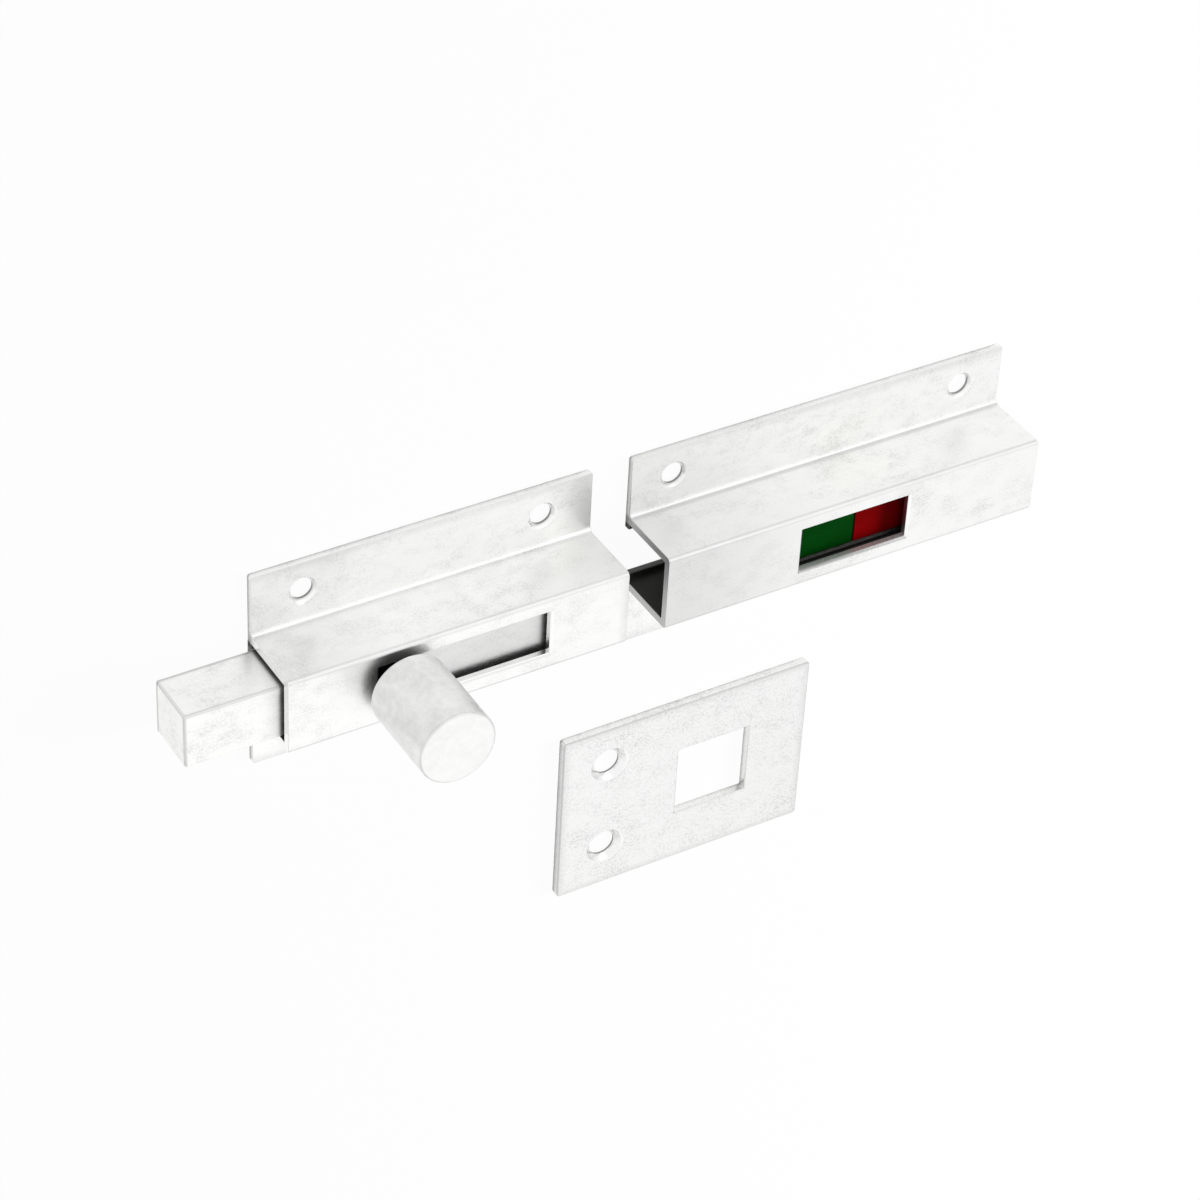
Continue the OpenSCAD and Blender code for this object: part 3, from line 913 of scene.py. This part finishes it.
class BOLT_OT_keep(Piece, Operator):
    """Finish the keep"""

    bl_idname = "indicator_bolt.keep"
    bl_label = "Keep"

    def execute(self, context):
        shape = context.scene.bolt_shape
        look = context.scene.bolt_finish
        keep = eased_copy("keep_plate", "keep_plate_flat", shape.keep_edge, shape.edge_steps)
        low, high = corners_of("keep_plate")
        past_screws = np.array([low[0] + shape.keep_screw_zone, high[1] - HOLE_EDGE])

        # Painted shade in the bores of the screw holes
        def bores(middle, normal):
            return BORE_SHADE * upright_within(middle, normal, low + HOLE_EDGE, past_screws)

        # Painted shade along the keep's left and upper edges
        def edge_shaded(middle, normal):
            left = (normal[:, 0] < -0.25) & (middle[:, 0] < low[0] + MM)
            upper = (normal[:, 1] > 0.25) & (middle[:, 1] > high[1] - MM)
            front = normal[:, 2] > 0.25
            return np.select([left & front, left, upper & front], [0.6, 0.35, 0.45], 0.0)

        # The countersinks get a painted highlight
        mark_faces(keep, "cut", countersinks)
        mark_faces(keep, "inside", bores)
        mark_faces(keep, "dull_and_shade", edge_shaded)
        mark_faces(keep, "flat", level)
        # A border of painted shade along the keep's outline
        finish = satin_aluminium("keep_satin", look.keep_tone, 18.01, grain_size=0.5 * MM, grain_part=0.55,
                                 border=(low, high, 2.2 * MM, 0.3))
        dress(keep, "keep_plate", finish)
        return {"FINISHED"}


class BOLT_OT_stage(Piece, Operator):
    """Set up the camera, the light and the floor"""

    bl_idname = "indicator_bolt.stage"
    bl_label = "Stage"

    def execute(self, context):
        scene = context.scene
        settings = scene.bolt_stage
        self.camera(scene, settings)
        self.light(scene, settings)
        self.floor(scene, settings)
        scene.view_settings.view_transform = "Standard"
        return {"FINISHED"}

    def camera(self, scene, settings):
        """Camera at the eye, with the picture's up direction."""
        lens = bpy.data.cameras.new("camera")
        lens.sensor_width = 36.0
        lens.lens = settings.lens
        lens.clip_start = 0.01
        lens.clip_end = 20.0
        camera = bpy.data.objects.new("camera", lens)
        back = -Vector(settings.aim).normalized()
        right = Vector(settings.up).cross(back).normalized()
        up = back.cross(right)
        turn = Matrix((right, up, back)).transposed().to_4x4()
        camera.matrix_world = Matrix.Translation(settings.eye) @ turn
        scene.collection.objects.link(camera)
        scene.camera = camera

    def light(self, scene, settings):
        """A white room that metal mirrors, dimmer towards its horizon, a plain sky and a soft key from the
        right for matt surfaces, and two broad lamps that only lend the metal a sheen."""
        world = bpy.data.worlds.new("white room")
        world.use_nodes = True
        room = Finish("white room", world.node_tree)
        seen = room.node("ShaderNodeLightPath", output="Is Camera Ray")
        mirrored = room.node("ShaderNodeLightPath", output="Is Glossy Ray")
        through = room.node("ShaderNodeLightPath", output="Is Transmission Ray")
        direction = room.node("ShaderNodeTexCoord", output="Generated")
        walls = room.ramp(room.part(direction, "Z"), 0.0, 0.5, settings.horizon, settings.room)
        sky = settings.sky
        lit = sky + (1.0 - sky) * (seen + through) + mirrored * (walls - sky)
        white = room.node("ShaderNodeBackground", {}, {"Color": WHITE, "Strength": lit})
        room.end(white, "ShaderNodeOutputWorld")
        scene.world = world
        subject = Vector((0.03, -0.01, 0.0))
        # Name, power, width, place, and whether matt surfaces and metal see it
        rows = (("key", settings.key, 0.40, (0.76, -0.10, 0.38), True, False),
                ("front sheen", settings.front, 0.36, (0.12, -0.39, 0.43), False, True),
                ("back sheen", settings.back, 0.62, (0.36, 0.44, 0.50), False, True))
        for name, power, size, place, matt, metal in rows:
            lamp = bpy.data.lights.new(name, "AREA")
            lamp.shape = "DISK"
            lamp.size = size
            lamp.energy = power
            light = bpy.data.objects.new(name, lamp)
            light.location = place
            aim = subject - light.location
            light.rotation_euler = aim.to_track_quat("-Z", "Y").to_euler()
            light.visible_diffuse = matt
            light.visible_glossy = metal
            scene.collection.objects.link(light)

    def floor(self, scene, settings):
        """A wide pale floor just under the backs of the pieces. It keeps the object's shadow, and where the
        camera or a reflection sees it, it is its own white as well. For the camera that white stops inside
        the bolt casing. In reflections it fades inside the casings, between them, and along the outlines of
        the casings and the keep, where the floor lies in their shade."""
        shape = scene.bolt_shape
        reach = 6.0
        depth = -0.02 * MM
        corners = [(-reach, -reach, depth), (reach, -reach, depth),
                   (reach, reach, depth), (-reach, reach, depth)]
        # Distances over which each shade gives way: at a channel, between the casings and at an outline
        at_channel = (0.0, 2.0 * MM)
        between = (3.0 * MM, 14.0 * MM)
        at_outline = (0.1 * MM, 1.0 * MM)
        brink = 0.1 * MM
        mesh = bpy.data.meshes.new("floor")
        mesh.from_pydata(corners, [], [(0, 1, 2, 3)])
        floor = bpy.data.objects.new("floor", mesh)
        scene.collection.objects.link(floor)
        pale = Finish("pale floor")
        seen = pale.node("ShaderNodeLightPath", output="Is Camera Ray")
        mirrored = pale.node("ShaderNodeLightPath", output="Is Glossy Ray")
        through = pale.node("ShaderNodeLightPath", output="Is Transmission Ray")
        place = pale.place()
        casings = []
        channels = []
        white = settings.floor_mirrored * (mirrored + through)
        half = shape.channel_half
        for node in ("bolt_casing", "indicator_casing"):
            low, high = corners_of(node)
            casings.append(pale.away(place, low, high))
            channels.append(pale.away(place, np.array([low[0], -half]), np.array([high[0], half])))
            white = white * pale.ramp(channels[-1], *at_channel, settings.floor_inside, 1.0)
        low, high = corners_of("keep_plate")
        side = shape.keep_hole / 2
        middle = np.array([high[0] - shape.keep_hole_inset - side, (low[1] + high[1]) / 2])
        hole = pale.away(place, middle - side, middle + side)
        keep = pale.away(place, low, high).most(-1.0 * hole)
        white = white * pale.ramp(casings[0].most(casings[1]), *between, settings.floor_between, 1.0)
        for distance in (*casings, keep):
            white = white * pale.ramp(abs(distance), *at_outline, settings.floor_under, 1.0)
        own_white = settings.floor_white * seen * pale.ramp(channels[0], -brink, brink) + white
        matt = pale.node("ShaderNodeBsdfDiffuse", {}, {"Color": rgba(settings.floor_tone)})
        glow = pale.node("ShaderNodeEmission", {}, {"Color": WHITE, "Strength": 1.0})
        pale.end(pale.node("ShaderNodeMixShader", {}, {0: own_white, 1: matt, 2: glow}))
        mesh.materials.append(pale.material)


OPERATORS = (BOLT_OT_casings, BOLT_OT_bar, BOLT_OT_knob, BOLT_OT_flags, BOLT_OT_keep, BOLT_OT_stage)
GROUPS = (("bolt_shape", BoltShape), ("bolt_finish", BoltFinish), ("bolt_stage", BoltStage))


class BOLT_PT_panel(Panel):
    """Lists the pieces of the indicator bolt"""

    bl_idname = "BOLT_PT_panel"
    bl_label = "Indicator bolt"
    bl_space_type = "VIEW_3D"
    bl_region_type = "UI"
    bl_category = "Indicator bolt"

    def draw(self, context):
        for operator in OPERATORS:
            self.layout.operator(operator.bl_idname)
        for name, group in GROUPS:
            settings = getattr(context.scene, name)
            column = self.layout.column(align=True)
            for key in group.__annotations__:
                column.prop(settings, key)


def register():
    """Registers the settings, the operators and the panel."""
    for name, group in GROUPS:
        bpy.utils.register_class(group)
        setattr(bpy.types.Scene, name, PointerProperty(type=group))
    for operator in OPERATORS:
        bpy.utils.register_class(operator)
    bpy.utils.register_class(BOLT_PT_panel)


def unregister():
    """Removes everything that register adds."""
    bpy.utils.unregister_class(BOLT_PT_panel)
    for operator in reversed(OPERATORS):
        bpy.utils.unregister_class(operator)
    for name, group in reversed(GROUPS):
        delattr(bpy.types.Scene, name)
        bpy.utils.unregister_class(group)


def main():
    register()
    bpy.ops.indicator_bolt.stage()
    bpy.ops.indicator_bolt.casings()
    bpy.ops.indicator_bolt.bar()
    bpy.ops.indicator_bolt.knob()
    bpy.ops.indicator_bolt.flags()
    bpy.ops.indicator_bolt.keep()


if __name__ == "__main__":
    main()
